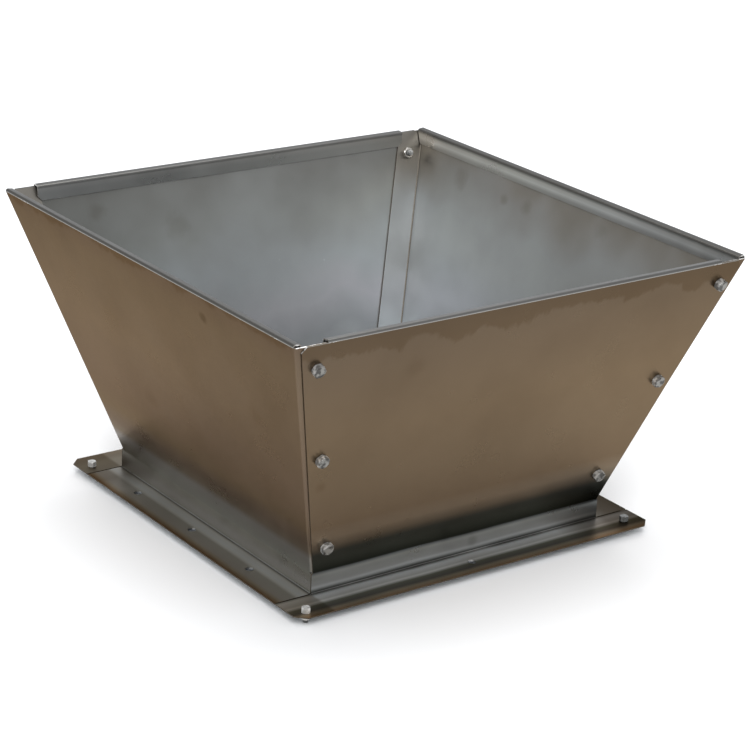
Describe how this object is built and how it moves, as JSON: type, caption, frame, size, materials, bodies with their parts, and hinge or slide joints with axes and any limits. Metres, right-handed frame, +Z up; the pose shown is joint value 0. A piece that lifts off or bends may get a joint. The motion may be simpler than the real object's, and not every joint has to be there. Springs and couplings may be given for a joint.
{
  "type": "exhaust hood fan",
  "caption": "Square flared discharge cowl of bolted stainless sheet on a drilled foot flange, with a plate-mounted axial exhaust fan in its throat",
  "frame": {"origin": "on the fan's axis, at the level of the corner screws' ends on which the unit stands", "axes": "+Z up, the way the air leaves; the front panel faces -Y; the left panel faces -X"},
  "size_m": [0.52, 0.52, 0.2975],
  "materials": {
    "stainless": "bright rolled stainless sheet",
    "stainless_fastener": "plain stainless",
    "zinc_steel": "zinc plated",
    "galvanised": "galvanised sheet",
    "motor_paint": "semi-gloss black enamel",
    "blade_aluminium": "mill finish",
    "lamination": "dark electrical steel",
    "copper_winding": "varnished copper wire",
    "bronze": "sintered bronze",
    "black_plastic": "black nylon",
    "rubber": "black rubber"
  },
  "bodies": {
    "housing": {"front_panel": "stainless", "rear_panel": "stainless", "left_panel": "stainless", "right_panel": "stainless", "seam_bolts": "stainless_fastener", "seam_nuts": "stainless_fastener", "corner_screws": "stainless_fastener", "corner_nuts": "stainless_fastener", "fan_plate": "galvanised", "motor_arms": "galvanised", "motor_plate": "galvanised", "arm_screws": "zinc_steel", "arm_nuts": "zinc_steel", "plate_screws": "zinc_steel", "plate_nuts": "zinc_steel", "finger_guard": "zinc_steel", "lower_end_bell": "motor_paint", "upper_end_bell": "motor_paint", "motor_shell": "motor_paint", "bearings": "bronze", "motor_bolts": "zinc_steel", "motor_nuts": "zinc_steel", "stator_core": "lamination", "windings": "copper_winding", "terminal_box": "galvanised", "terminal_box_lid": "galvanised", "lid_screws": "zinc_steel", "box_rivets": "blade_aluminium", "terminal_block": "black_plastic", "lead_grommet": "rubber", "cable_gland": "black_plastic", "gland_nut": "black_plastic"},
    "rotor": {"shaft": "zinc_steel", "rotor_core": "lamination", "rotor_cage": "blade_aluminium", "thrust_collars": "zinc_steel", "fan_hub": "zinc_steel", "fan_spider": "zinc_steel", "hub_rivets": "zinc_steel", "fan_blades": "blade_aluminium", "blade_rivets": "blade_aluminium", "hub_set_screw": "zinc_steel"}
  },
  "joints": [
    {"name": "fan_spin", "type": "hinge", "parent": "housing", "child": "rotor", "pos_m": [0, 0, 0.033], "axis": [0, 0, 1], "continuous": true}
  ]
}
